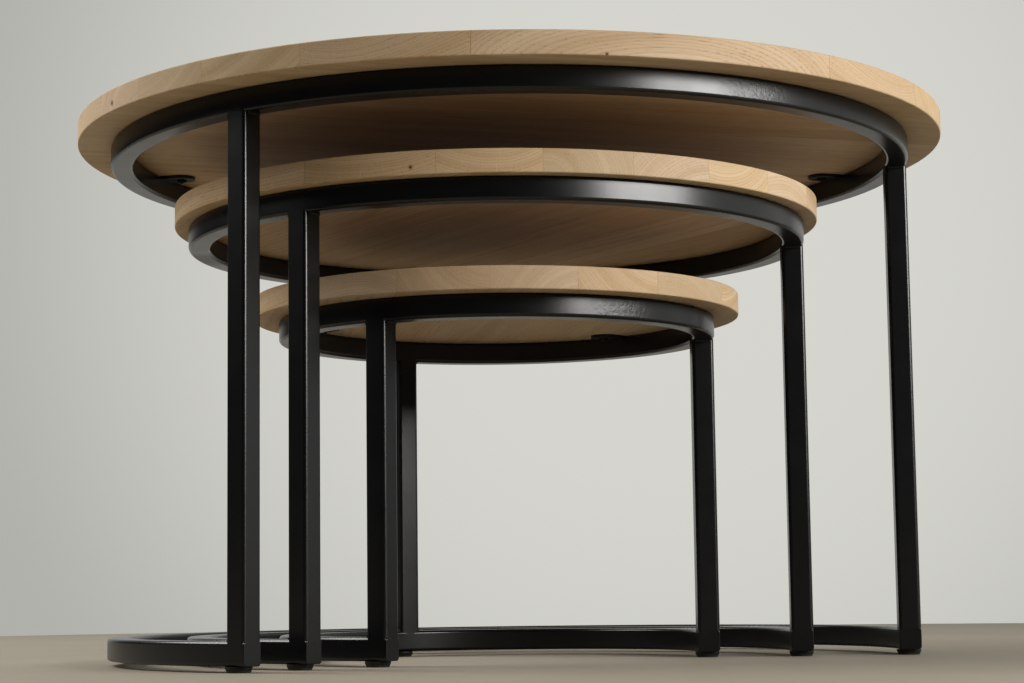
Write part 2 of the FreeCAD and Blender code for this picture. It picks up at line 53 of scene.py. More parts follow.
class Socket:
    """An output of a node. Its operators add the Math nodes that work an expression out."""

    def __init__(self, net, socket):
        self.net = net
        self.socket = socket

    def math(self, operation, *others):
        return self.net.math(operation, self, *others)

    def __add__(self, other):
        return self.math("ADD", other)

    def __radd__(self, other):
        return self.net.math("ADD", other, self)

    def __sub__(self, other):
        return self.math("SUBTRACT", other)

    def __rsub__(self, other):
        return self.net.math("SUBTRACT", other, self)

    def __mul__(self, other):
        return self.math("MULTIPLY", other)

    def __rmul__(self, other):
        return self.net.math("MULTIPLY", other, self)

    def __truediv__(self, other):
        return self.math("DIVIDE", other)


class Net:
    """A node tree as it is put together, for a material or for a shape."""

    def __init__(self, tree):
        self.tree = tree

    def node(self, kind, settings=None, values=None, output=0):
        """Adds a node, sets it up, feeds its sockets, and gives one of its outputs."""
        made = self.tree.nodes.new(kind)
        for name, setting in (settings or {}).items():
            if name == "stops":
                ramp = made.color_ramp.elements
                while len(ramp) < len(setting):
                    ramp.new(0.5)
                for stop, (position, colour) in zip(ramp, setting):
                    stop.position = position
                    stop.color = (*colour, 1)
            else:
                setattr(made, name, setting)
        for name, value in (values or {}).items():
            if isinstance(value, Socket):
                self.tree.links.new(value.socket, made.inputs[name])
            else:
                made.inputs[name].default_value = value
        return Socket(self, made.outputs[output]) if made.outputs else None

    def math(self, operation, *numbers):
        return self.node("ShaderNodeMath", {"operation": operation}, dict(enumerate(numbers)))

    def place(self):
        """Where a point lies in the object's own coordinates, in metres."""
        return self.node("ShaderNodeTexCoord", output="Object")

    def distance(self, place, spot):
        values = {0: place, 1: spot}
        return self.node("ShaderNodeVectorMath", {"operation": "DISTANCE"}, values, "Value")

    def step(self, value, low, high):
        """0 below low, 1 above high, smooth between them; turned round where low > high."""
        values = {"Value": value, "From Min": low, "From Max": high}
        return self.node("ShaderNodeMapRange", {"interpolation_type": "SMOOTHSTEP"}, values)

    def noise(self, place, scale, detail=2.0, roughness=0.5):
        values = {"Vector": place, "Scale": scale, "Detail": detail, "Roughness": roughness}
        return self.node("ShaderNodeTexNoise", {}, values)

    def tint(self, factor, first, second, blend="MIX"):
        """Two colours, mixed."""
        first = first if isinstance(first, Socket) else (*first, 1)
        second = second if isinstance(second, Socket) else (*second, 1)
        settings = {"data_type": "RGBA", "blend_type": blend}
        return self.node("ShaderNodeMix", settings, {0: factor, 6: first, 7: second}, 2)

    def vector(self, x, y, z):
        return self.node("ShaderNodeCombineXYZ", {}, {0: x, 1: y, 2: z})

    def parts(self, vector):
        """The three numbers of a vector."""
        first = self.node("ShaderNodeSeparateXYZ", {}, {0: vector})
        return [Socket(self, output) for output in first.socket.node.outputs]

    def bump(self, height, depth, below=None):
        """A relief of that depth in metres, on top of another one."""
        values = {"Height": height, "Distance": depth, "Strength": 1.0}
        if below:
            values["Normal"] = below
        return self.node("ShaderNodeBump", {}, values)


def new_material(name):
    material = bpy.data.materials.new(name)
    material.use_nodes = True
    material.node_tree.nodes.clear()
    return material, Net(material.node_tree)


def surface(net, values):
    """Closes a material with its one shader."""
    shader = net.node("ShaderNodeBsdfPrincipled", {}, values)
    net.node("ShaderNodeOutputMaterial", {}, {"Surface": shader})


SEAM_REACH = 0.045
SEAM_HEART = 0.35 * SEAM_REACH
PEEL_DEPTH = 0.00002
WAVE_DEPTH = 0.00006
DIMPLE_DEPTH = 0.00028
DEEP_BLACK = (0.0030, 0.0036, 0.0042)
GREY_BLACK = (0.0054, 0.0061, 0.0066)
RUBBED_BLACK = (0.016, 0.016, 0.017)
DUST_GREY = (0.045, 0.043, 0.040)


def powder_coat(name, seam):
    """Satin black powder coat, with a ground weld about `seam`."""
    material, net = new_material(name)
    place = net.place()
    ground = net.step(net.distance(place, seam), SEAM_REACH, SEAM_HEART)
    corner = net.node("ShaderNodeAttribute", {"attribute_name": "corner"}, output="Fac")
    peel = net.noise(place, 850.0, 2.0)
    waves = net.noise(place, 45.0, 3.0)
    dimples = net.noise(place, 260.0, 2.0, 0.6)
    dust = net.step(net.noise(place, 1500.0, 1.0), 0.70, 0.80)
    rubbed = corner * net.step(net.noise(place, 90.0, 4.0, 0.65), 0.45, 0.7)
    colour = net.tint(waves, DEEP_BLACK, GREY_BLACK)
    colour = net.tint(dust * 0.22, colour, DUST_GREY)
    colour = net.tint(rubbed * 0.22, colour, RUBBED_BLACK)
    roughness = 0.29 + (waves - 0.5) * 0.06 + dust * 0.12 - rubbed * 0.05 + ground * dimples * 0.14
    relief = net.bump(peel, PEEL_DEPTH)
    relief = net.bump(waves, WAVE_DEPTH, relief)
    relief = net.bump(dimples * ground, DIMPLE_DEPTH, relief)
    surface(net, {"Base Color": colour, "Roughness": roughness, "Normal": relief, "IOR": 1.6})
    return material


# ---- rings, base arcs and legs -----------------------------------------------------------------
# Square steel tube with rounded corners: a full ring under the top, an arc on the floor that
# stops at the two front legs, and three straight legs between them. The tube is rolled, cut
# and welded, then coated.

TUBE_SIDE = 0.020
TUBE_CORNER = 0.003
CORNER_STEPS = 7
ROLLED_STEPS = 288
CAP_THICKNESS = 0.002
CREASE = math.radians(35)
SIDES = ("left", "rear", "right")
SEAM_TURN = {"large": math.radians(277.2), "middle": math.radians(150), "small": math.radians(278.8)}


def circle_through(a, b, c):
    """Middle and radius of the circle through three points seen from above."""
    span = 2 * (a.x * (b.y - c.y) + b.x * (c.y - a.y) + c.x * (a.y - b.y))
    aa, bb, cc = a.xy.length_squared, b.xy.length_squared, c.xy.length_squared
    x = (aa * (b.y - c.y) + bb * (c.y - a.y) + cc * (a.y - b.y)) / span
    y = (aa * (c.x - b.x) + bb * (a.x - c.x) + cc * (b.x - a.x)) / span
    middle = Vector((x, y))
    return middle, (a.xy - middle).length


def middle_of(node):
    low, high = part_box(node)
    return (low + high) / 2


def turn_of(point, middle):
    """Direction from a table's middle to a point, seen from above."""
    away = point.xy - middle
    return math.atan2(away.y, away.x)


def shape_tree(name, inputs):
    """A Geometry Nodes tree with named inputs: the tree, and its inputs as sockets."""
    tree = bpy.data.node_groups.new(name, "GeometryNodeTree")
    tree.interface.new_socket(name="Shape", in_out="OUTPUT", socket_type="NodeSocketGeometry")
    for label, kind in inputs.items():
        tree.interface.new_socket(name=label, in_out="INPUT", socket_type="NodeSocket" + kind)
    net = Net(tree)
    given = tree.nodes.new("NodeGroupInput")
    return net, {label: Socket(net, given.outputs[label]) for label in inputs}


def close_tree(net, geometry, finish):
    """Ends a tree with plain geometry that carries its material."""
    real = net.node("GeometryNodeRealizeInstances", {}, {"Geometry": geometry})
    finished = net.node("GeometryNodeSetMaterial", {}, {"Geometry": real, "Material": finish})
    net.node("NodeGroupOutput", {}, {"Shape": finished})
    return net.tree


def tube_tree(path_kind):
    """Square tube along a circle, an arc or an upright line, about a middle."""
    sizes = dict.fromkeys(("Radius", "Start", "Sweep", "Length", "Turn", "Side", "Corner"), "Float")
    net, given = shape_tree(f"tube_{path_kind}", {**sizes, "Middle": "Vector", "Finish": "Material"})
    if path_kind == "ring":
        path = net.node("GeometryNodeCurvePrimitiveCircle", {"mode": "RADIUS"},
                        {"Resolution": ROLLED_STEPS, "Radius": given["Radius"]})
    elif path_kind == "arc":
        path = net.node("GeometryNodeCurveArc", {"mode": "RADIUS"},
                        {"Resolution": ROLLED_STEPS, "Radius": given["Radius"],
                         "Start Angle": given["Start"], "Sweep Angle": given["Sweep"]})
    else:
        top = net.vector(0.0, 0.0, given["Length"])
        path = net.node("GeometryNodeCurvePrimitiveLine", {"mode": "POINTS"}, {"End": top})
    square = net.node("GeometryNodeCurvePrimitiveQuadrilateral", {"mode": "RECTANGLE"},
                      {"Width": given["Side"], "Height": given["Side"]})
    section = net.node("GeometryNodeFilletCurve", {"mode": "POLY"},
                       {"Curve": square, "Radius": given["Corner"], "Count": CORNER_STEPS})
    across = [side.math("ABSOLUTE") for side in net.parts(net.node("GeometryNodeInputPosition"))]
    flat = given["Side"] * 0.5 - given["Corner"]
    round_part = (across[0].math("MINIMUM", across[1]) - flat) / (given["Corner"] * math.sqrt(0.5))
    section = net.node("GeometryNodeStoreNamedAttribute", {"data_type": "FLOAT", "domain": "POINT"},
                       {"Geometry": section, "Name": "corner", "Value": round_part})
    tube = net.node("GeometryNodeCurveToMesh", {},
                    {"Curve": path, "Profile Curve": section, "Fill Caps": True})
    turn = net.vector(0.0, 0.0, given["Turn"])
    placed = net.node("GeometryNodeTransform", {},
                      {"Geometry": tube, "Translation": given["Middle"], "Rotation": turn})
    return close_tree(net, placed, given["Finish"])


def settle(piece):
    """Turns what a piece's modifiers make into its own plain mesh."""
    seen = piece.evaluated_get(bpy.context.evaluated_depsgraph_get())
    mesh = bpy.data.meshes.new_from_object(seen)
    piece.modifiers.clear()
    piece.data = mesh


def made_by(tree, name, start=None, **sizes):
    """What a tree makes with these sizes, as a plain mesh object at the origin."""
    piece = bpy.data.objects.new(name, start or bpy.data.meshes.new(name))
    bpy.context.scene.collection.objects.link(piece)
    modifier = piece.modifiers.new("shape", "NODES")
    modifier.node_group = tree
    for item in tree.interface.items_tree:
        if item.in_out == "INPUT" and item.name in sizes:
            modifier[item.identifier] = sizes[item.name]
    settle(piece)
    piece.data.name = name
    return piece


def smooth(piece, crease=CREASE):
    """Rounds the shading of curved faces, leaving flat ones flat and creases sharp."""
    piece.data.shade_smooth()
    piece.data.set_sharp_from_angle(angle=crease)
    even = piece.modifiers.new("even shading", "WEIGHTED_NORMAL")
    even.keep_sharp = True
    settle(piece)


def mount(piece, table, slot, *nodes):
    """Fixes a piece to its table, in place of its CAD nodes."""
    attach(piece, f"{table}_table")
    if nodes:
        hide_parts(*nodes)


ring_tree = tube_tree("ring")
arc_tree = tube_tree("arc")
leg_tree = tube_tree("leg")
coat = {}
stand = {}
for table in TABLES:
    legs = {side: middle_of(f"{table}_{side}_leg") for side in SIDES}
    middle, leg_circle = circle_through(*legs.values())
    ring_low, ring_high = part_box(f"{table}_top_ring")
    arc_low, arc_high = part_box(f"{table}_base_arc")
    turns = {side: turn_of(legs[side], middle) for side in SIDES}
    stand[table] = {"middle": middle, "leg_circle": leg_circle, "turns": turns, "ring_z": ring_low.z,
                    "top_z": ring_high.z, "arc_z": arc_low.z, "leg_foot": arc_high.z}
    outer = leg_circle + TUBE_SIDE / 2
    ring_level = (ring_low.z + ring_high.z) / 2
    arc_level = (arc_low.z + arc_high.z) / 2
    seam = (middle.x + outer * math.cos(SEAM_TURN[table]),
            middle.y + outer * math.sin(SEAM_TURN[table]), ring_level)
    coat[table] = powder_coat(f"{table}_black_powder_coat", seam)
    tube = {"Side": TUBE_SIDE, "Corner": TUBE_CORNER, "Finish": coat[table]}

    ring = made_by(ring_tree, f"{table}_ring_tube", Radius=leg_circle,
                   Middle=(*middle, ring_level), **tube)
    smooth(ring)
    mount(ring, table, "black_powder_coat", f"{table}_top_ring")

    # The arc runs on past its front legs' middles, as far as the plates that close it.
    overrun = (TUBE_SIDE / 2 - CAP_THICKNESS) / leg_circle
    sweep = (turns["left"] - turns["right"]) % math.tau + 2 * overrun
    arc = made_by(arc_tree, f"{table}_base_tube", Radius=leg_circle, Start=turns["right"] - overrun,
                  Sweep=sweep, Middle=(*middle, arc_level), **tube)
    smooth(arc)
    mount(arc, table, "black_powder_coat", f"{table}_base_arc")

    # Each leg reaches a corner radius into the arc and the ring, so that no gap shows.
    for side in SIDES:
        foot = arc_high.z - TUBE_CORNER
        leg = made_by(leg_tree, f"{table}_{side}_leg_tube", Length=ring_low.z + TUBE_CORNER - foot,
                      Turn=turns[side], Middle=(*legs[side].xy, foot), **tube)
        smooth(leg)
        mount(leg, table, "black_powder_coat", f"{table}_{side}_leg")


# ---- end caps and fixing tabs ------------------------------------------------------------------
# Small plates of the same steel, coated with the frame: one closes each end of a base arc,
# and the round-ended tabs inside a ring carry the screws that hold the top.

SAME_POINT = 0.000002
SAME_PLANE = 0.002
TAB_EDGE = 0.0004
SHARP_EDGE = math.radians(50)


def tabs_of(table):
    return sorted(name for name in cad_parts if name.startswith(f"{table}_fixing_tab"))


def softened(node, name, material, edge=0):
    """A copy of a CAD plate, with the burrs taken off its edges."""
    piece = bpy.data.objects.new(name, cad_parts[node].data.copy())
    bpy.context.scene.collection.objects.link(piece)
    work = bmesh.new()
    work.from_mesh(piece.data)
    bmesh.ops.remove_doubles(work, verts=work.verts, dist=SAME_POINT)
    bmesh.ops.dissolve_limit(work, angle_limit=SAME_PLANE, verts=work.verts, edges=work.edges)
    work.to_mesh(piece.data)
    work.free()
    piece.data.materials.clear()
    piece.data.materials.append(material)
    if edge:
        rounding = piece.modifiers.new("softened edge", "BEVEL")
        rounding.width = edge
        rounding.segments = 3
        rounding.limit_method = "ANGLE"
        rounding.angle_limit = SHARP_EDGE
    smooth(piece)
    return piece


for table in TABLES:
    for side in ("left", "right"):
        node = f"{table}_{side}_end_cap"
        plate = softened(node, f"{table}_{side}_cap_plate", coat[table])
        mount(plate, table, "black_powder_coat", node)
    for number, node in enumerate(tabs_of(table), start=1):
        plate = softened(node, f"{table}_tab_plate_{number}", coat[table], TAB_EDGE)
        mount(plate, table, "black_powder_coat", node)


# ---- weld beads --------------------------------------------------------------------------------
# The legs are welded to the ring and to the base arc. The faces that lie flush are ground
# flat, so a low bead is left only in the corners beside a leg, under the same coat.

BEAD_RADIUS = 0.0017
BEAD_STEP = 0.0012
BEAD_SIDES = 12
BEAD_SWELL = (0.90, 1.06)
BEAD_CREASE = math.radians(60)


def bead_tree():
    """A slightly uneven bead of weld metal along every edge of the starting mesh."""
    sizes = {"Runs": "Geometry", "Step": "Float", "Bead": "Float", "Seed": "Int", "Finish": "Material"}
    net, given = shape_tree("weld_beads", sizes)
    runs = net.node("GeometryNodeMeshToCurve", {}, {"Mesh": given["Runs"]})
    runs = net.node("GeometryNodeResampleCurve", {"mode": "LENGTH"},
                    {"Curve": runs, "Length": given["Step"]})
    swell = net.node("FunctionNodeRandomValue", {"data_type": "FLOAT"},
                     {2: BEAD_SWELL[0], 3: BEAD_SWELL[1], "Seed": given["Seed"]}, 1)
    runs = net.node("GeometryNodeSetCurveRadius", {}, {"Curve": runs, "Radius": swell})
    section = net.node("GeometryNodeCurvePrimitiveCircle", {"mode": "RADIUS"},
                       {"Resolution": BEAD_SIDES, "Radius": given["Bead"]})
    bead = net.node("GeometryNodeCurveToMesh", {},
                    {"Curve": runs, "Profile Curve": section, "Fill Caps": True})
    return close_tree(net, bead, given["Finish"])


weld_tree = bead_tree()
for number, table in enumerate(TABLES):
    frame_sizes = stand[table]
    runs = bmesh.new()
    for side, turn in frame_sizes["turns"].items():
        outward = Vector((math.cos(turn), math.sin(turn), 0))
        along = Vector((-math.sin(turn), math.cos(turn), 0))
        foot = Vector((*frame_sizes["middle"], 0)) + outward * frame_sizes["leg_circle"]
        reach = outward * (TUBE_SIDE / 2 - TUBE_CORNER)
        for way in (-1, 1):
            # An arc ends flush with its front legs, so there is no corner to weld on that side.
            open_end = (side, way) in (("left", 1), ("right", -1))
            levels = [frame_sizes["ring_z"]] + ([] if open_end else [frame_sizes["leg_foot"]])
            for level in levels:
                corner = foot + along * way * TUBE_SIDE / 2 + Vector((0, 0, level))
                runs.edges.new([runs.verts.new(corner - reach), runs.verts.new(corner + reach)])
    lines = bpy.data.meshes.new(f"{table}_weld_runs")
    runs.to_mesh(lines)
    runs.free()
    beads = made_by(weld_tree, f"{table}_weld_beads", lines, Step=BEAD_STEP, Bead=BEAD_RADIUS,
                    Seed=number + 3, Finish=coat[table])
    smooth(beads, BEAD_CREASE)
    mount(beads, table, "black_powder_coat")


# ---- glides ------------------------------------------------------------------------------------
# A black moulded glide under each leg keeps the steel off the floor. Its foot is tapered and
# its stem is pressed into a hole in the base arc, where it can't be seen.

GLIDE_TOP = 0.011
GLIDE_FOOT = 0.0095
GLIDE_RIM = 0.0015
FOOT_EASE = 0.0009
SHOULDER_EASE = 0.0006
GLIDE_STEPS = 40
SPARK_DEPTH = 0.00003
NYLON_BLACK = (0.012, 0.012, 0.012)
SCUFFED_GREY = (0.070, 0.066, 0.060)


def lathe(name, outline, steps):
    """A closed solid turned about the upright axis from points of its half outline."""
    work = bmesh.new()
    turns = [math.tau * i / steps for i in range(steps)]
    rings = []
    for radius, height in outline:
        around = turns if radius else [0]
        rings.append([work.verts.new((radius * math.cos(turn), radius * math.sin(turn), height))
                      for turn in around])
    for lower, upper in zip(rings, rings[1:]):
        for i in range(steps):
            j = (i + 1) % steps
            if len(lower) == 1:
                corners = (lower[0], upper[j], upper[i])
            elif len(upper) == 1:
                corners = (lower[i], lower[j], upper[0])
            else:
                corners = (lower[i], lower[j], upper[j], upper[i])
            work.faces.new(corners)
    mesh = bpy.data.meshes.new(name)
    work.to_mesh(mesh)
    work.free()
    return mesh


def eased(corner, before, after, radius, steps):
    """Points of a rounded corner of an outline, between its two neighbours."""
    corner, before, after = Vector(corner), Vector(before), Vector(after)
    to_before = (before - corner).normalized()
    to_after = (after - corner).normalized()
    half = to_before.angle(to_after) / 2
    middle = corner + (to_before + to_after).normalized() * radius / math.sin(half)
    spoke = corner + to_before * radius / math.tan(half) - middle
    swing = math.pi - 2 * half
    if spoke.cross(to_after) < 0:
        swing = -swing
    return [tuple(middle + Matrix.Rotation(swing * i / steps, 2) @ spoke) for i in range(steps + 1)]


def repeat_tree():
    """One piece, again on every vertex of the starting mesh."""
    sizes = {"Spots": "Geometry", "Piece": "Object", "Finish": "Material"}
    net, given = shape_tree("piece_on_spots", sizes)
    piece = net.node("GeometryNodeObjectInfo", {}, {"Object": given["Piece"]}, "Geometry")
    copies = net.node("GeometryNodeInstanceOnPoints", {}, {"Points": given["Spots"], "Instance": piece})
    return close_tree(net, copies, given["Finish"])


spot_tree = repeat_tree()


def repeated(name, mesh, spots, finish):
    """A mesh at each of the spots, as one piece."""
    pattern = bpy.data.objects.new(f"{name}_pattern", mesh)
    points = bpy.data.meshes.new(f"{name}_spots")
    points.from_pydata(spots, [], [])
    piece = made_by(spot_tree, name, points, Piece=pattern, Finish=finish)
    bpy.data.objects.remove(pattern)
    return piece


def glide_plastic():
    """Black nylon with the fine spark texture of its mould, scuffed dull at the floor."""
    material, net = new_material("black_glide_nylon")
    place = net.place()
    grain = net.noise(place, 2600.0, 1.0)
    scuffs = net.noise(place, 500.0, 4.0, 0.7)
    height = net.parts(place)[2]
    worn = net.step(height, 0.0022, 0.0002) * net.step(scuffs, 0.35, 0.6)
    colour = net.tint(worn, NYLON_BLACK, SCUFFED_GREY)
    roughness = 0.48 + grain * 0.12 + worn * 0.22
    surface(net, {"Base Color": colour, "Roughness": roughness, "Normal": net.bump(grain, SPARK_DEPTH)})
    return material


nylon = glide_plastic()
for table in TABLES:
    rise = stand[table]["arc_z"]
    foot, shoulder, lip = (GLIDE_FOOT, 0), (GLIDE_TOP, rise - GLIDE_RIM), (GLIDE_TOP, rise)
    outline = [(0, 0), *eased(foot, (0, 0), shoulder, FOOT_EASE, 4),
               *eased(shoulder, foot, lip, SHOULDER_EASE, 3), lip, (0, rise)]
    nodes = [f"{table}_{side}_glide" for side in SIDES]
    spots = [(*middle_of(node).xy, 0) for node in nodes]
    glides = repeated(f"{table}_glides", lathe(f"{table}_glide", outline, GLIDE_STEPS), spots, nylon)
    smooth(glides)
    mount(glides, table, "glide_plastic", *nodes)


# ---- screws ------------------------------------------------------------------------------------
# Black pan-head wood screws with a hexagon recess go up through the tabs into the oak. Only
# the heads show from below.

HEAD_RADIUS = 0.0045
HEAD_HEIGHT = 0.003
HEAD_ROUND = 0.002
RECESS_APOTHEM = 0.0012
RECESS_DEPTH = 0.0016
RECESS_TAPER = 0.96
HEAD_STEPS = 36
TAB_THICKNESS = 0.003
SCREW_REACH = 0.013
STAIN_DEPTH = 0.00004
ZINC_DARK, ZINC_LIGHT = (0.020, 0.021, 0.023), (0.045, 0.044, 0.042)
BARE_SCRATCH = (0.24, 0.23, 0.22)


def screw_head():
    """A domed head that hangs down from the tab, with its six-sided recess."""
    dome = [(HEAD_RADIUS, 0),
            *eased((HEAD_RADIUS, -HEAD_HEIGHT), (HEAD_RADIUS, 0), (0, -HEAD_HEIGHT), HEAD_ROUND, 7)]
    turns = [math.tau * i / HEAD_STEPS for i in range(HEAD_STEPS)]
    sector = math.tau / 6
    hexagon = [RECESS_APOTHEM / math.cos(turn % sector - sector / 2) for turn in turns]
    rings = [[point] * HEAD_STEPS for point in dome]
    rings.append([(radius, -HEAD_HEIGHT) for radius in hexagon])
    rings.append([(radius * RECESS_TAPER, RECESS_DEPTH - HEAD_HEIGHT) for radius in hexagon])
    work = bmesh.new()
    loops = [[work.verts.new((radius * math.cos(turn), radius * math.sin(turn), height))
              for turn, (radius, height) in zip(turns, ring)] for ring in rings]
    for upper, lower in zip(loops, loops[1:]):
        for i in range(HEAD_STEPS):
            j = (i + 1) % HEAD_STEPS
            work.faces.new((upper[i], lower[i], lower[j], upper[j]))
    work.faces.new(loops[0])
    work.faces.new(loops[-1][::-1])
    mesh = bpy.data.meshes.new("screw_head")
    work.to_mesh(mesh)
    work.free()
    return mesh


def black_zinc():
    """Black zinc on the screws: greyer than the powder coat, half metal, with driver marks."""
    material, net = new_material("black_zinc_screw")
    place = net.place()
    stain = net.noise(place, 700.0, 3.0, 0.6)
    scratch = net.step(net.noise(place, 1900.0, 2.0), 0.62, 0.72)
    colour = net.tint(stain, ZINC_DARK, ZINC_LIGHT)
    colour = net.tint(scratch * 0.4, colour, BARE_SCRATCH)
    surface(net, {"Base Color": colour, "Metallic": 0.6, "Roughness": 0.30 + stain * 0.15,
                  "Normal": net.bump(stain, STAIN_DEPTH)})
    return material


zinc = black_zinc()
for table in TABLES:
    middle = stand[table]["middle"]
    under = stand[table]["top_z"] - TAB_THICKNESS
    spots = []
    for tab in tabs_of(table):
        tip = min((vertex.co.xy - middle).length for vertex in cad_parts[tab].data.vertices)
        turn = turn_of(middle_of(tab), middle)
        radius = tip + SCREW_REACH
        spots.append((middle.x + radius * math.cos(turn), middle.y + radius * math.sin(turn), under))
    screws = repeated(f"{table}_screw_heads", screw_head(), spots, zinc)
    smooth(screws)
    mount(screws, table, "black_screw", f"{table}_top_screws")


# ---- oak tops ----------------------------------------------------------------------------------
# Solid oak discs, edge-glued from staves whose growth rings run every way, turned to a circle,
# with both rims eased by hand and a thin matt oil finish.

TOP_EASE = 0.0013
RIM_STEPS = 360
GRAIN_TURN = {"large": math.radians(-7), "middle": math.radians(95), "small": math.radians(75)}
FIRST_JOINT = {"large": 0.0, "middle": 0.039, "small": -0.031}
STAVE_WIDTH = 0.074
GLUE_LINE = 0.00022
SANDING_DEPTH = 0.00004
EARLY_DEPTH = 0.00005
PORE_DEPTH = 0.00007
GLUE_DEPTH = 0.00010
LATE_WOOD = (0.650, 0.482, 0.312)
EARLY_WOOD = (0.485, 0.330, 0.188)
WARM_BAND = (0.540, 0.365, 0.195)
PALE_BAND = (0.745, 0.585, 0.395)
PALE_CLOUD = (0.700, 0.545, 0.350)
PORE_BROWN = (0.285, 0.172, 0.090)
RAY_SILVER = (0.780, 0.640, 0.465)
GLUE_BROWN = (0.260, 0.160, 0.085)
KNOT_RIM = (0.260, 0.150, 0.072)
KNOT_HEART = (0.075, 0.042, 0.022)
KNOTS = {"large": [((-0.3965, -0.0530, 0.4773), 0.0021), ((-0.0982, -0.3878, 0.4711), 0.0014)],
         "middle": [((-0.2025, -0.2436, 0.4013), 0.0017)], "small": []}


def oak(name, middle, level, grain_turn, first_joint, seed, knots):
    """Oiled oak staves: growth rings about a pith that each stave has in its own place."""
    material, net = new_material(name)
    place = net.place()
    disc_place = {"Vector": place, "Location": (*middle, level), "Rotation": (0, 0, grain_turn)}
    along, across, up = net.parts(net.node("ShaderNodeMapping", {"vector_type": "TEXTURE"}, disc_place))
    in_staves = (across - first_joint) / STAVE_WIDTH
    stave = in_staves.math("FLOOR")
    from_middle = (in_staves - stave - 0.5) * STAVE_WIDTH
    chance = net.node("ShaderNodeTexWhiteNoise", {"noise_dimensions": "2D"},
                      {"Vector": net.vector(stave, seed, 0.0)}, "Color")
    first, second, third = net.parts(chance)

    # The pith runs along the stave, outside it, and wanders a little.
    lane = net.vector(along * 1.6, stave * 7.3 + seed, 0.0)
    wander = net.noise(lane, 1.0, 1.0) - 0.5
    dip = net.noise(net.vector(along * 1.1, stave * 5.1 + seed, 4.0), 1.0, 1.0) - 0.5
    side_of_pith = (second - 0.5).math("SIGN")
    pith_across = (first - 0.5) * 0.11 + wander * 0.030
    pith_up = side_of_pith * (0.018 + (second - 0.5).math("ABSOLUTE") * 0.16) + dip * 0.022
    to_across = from_middle - pith_across
    to_up = up - pith_up
    shaken = net.noise(net.vector(along * 9.0, across * 60.0, up * 60.0), 1.0, 3.0, 0.55) - 0.5
    ring_radius = (to_across * to_across + to_up * to_up).math("SQRT") + shaken * 0.0016
    spacing = 0.0017 + third * 0.0011
    years = ring_radius / spacing
    lean_years = net.noise(net.vector(years * 0.31, stave * 3.1, seed), 1.0, 1.0)
    years = years + lean_years * 2.2
    season = years.math("FRACT")
    early = net.step(season, 0.45, 0.0) + net.step(season, 0.93, 1.0)
    broad = net.noise(net.vector(ring_radius * 95.0, along * 3.0, stave * 2.7 + seed), 1.0, 2.0, 0.6)

    # Open pores lie in the early wood. Rays are thin plates that point at the pith.
    pores = net.noise(net.vector(along * 55.0, across * 1500.0, up * 1500.0), 1.0, 1.0)
    pores = net.step(pores, 0.54, 0.70) * (0.25 + early * 0.75)
    bearing = net.math("ARCTAN2", to_up, to_across)
    rays = net.noise(net.vector(bearing * 160.0, ring_radius * 45.0, along * 14.0), 1.0, 1.0)
    rays = net.step(rays, 0.60, 0.74)
    figure = net.noise(net.vector(along * 5.0, across * 26.0, up * 26.0), 1.0, 3.0, 0.6)
    cloud = net.noise(net.vector(along * 2.2, across * 7.0, up * 7.0), 1.0, 2.0)
    from_joint = (in_staves - in_staves.math("ROUND")).math("ABSOLUTE") * STAVE_WIDTH
    glue = net.step(from_joint, GLUE_LINE, 0.0)

    # Every stave has a tone of its own, and a knot is a dark heart in a ragged brown rim.
    colour = net.tint(early * (0.21 + figure * 0.38), LATE_WOOD, EARLY_WOOD)
    colour = net.tint(net.step(broad, 0.50, 0.66) * 0.50, colour, WARM_BAND)
    colour = net.tint(net.step(broad, 0.47, 0.33) * 0.50, colour, PALE_BAND)
    colour = net.tint(net.step(cloud, 0.40, 0.75) * 0.25, colour, PALE_CLOUD)
    colour = net.tint(pores * 0.60, colour, PORE_BROWN)
    colour = net.tint(rays * 0.28, colour, RAY_SILVER)
    shade = net.node("ShaderNodeHueSaturation", {},
                     {"Color": colour, "Hue": 0.497 + first * 0.006,
                      "Saturation": 0.89 + second * 0.16, "Value": 0.90 + third * 0.17})
    colour = net.tint(glue * 0.5, shade, GLUE_BROWN)
    for spot, size in knots:
        ragged = net.distance(place, spot) + (figure - 0.5) * size * 0.9
        colour = net.tint(net.step(ragged, size * 1.9, size * 0.7) * 0.5, colour, KNOT_RIM)
        colour = net.tint(net.step(ragged, size, size * 0.4) * 0.9, colour, KNOT_HEART)

    roughness = 0.62 + pores * 0.20 + (figure - 0.5) * 0.14 - rays * 0.05 + glue * 0.1
    sanding = net.noise(net.vector(along * 900.0, across * 900.0, up * 160.0), 1.0, 2.0)
    relief = net.bump(sanding, SANDING_DEPTH)
    relief = net.bump(1 - early * 0.5, EARLY_DEPTH, relief)
    relief = net.bump(1 - pores, PORE_DEPTH, relief)
    relief = net.bump(1 - glue, GLUE_DEPTH, relief)
    surface(net, {"Base Color": colour, "Roughness": roughness, "Normal": relief, "IOR": 1.45,
                  "Specular IOR Level": 0.38})
    return material


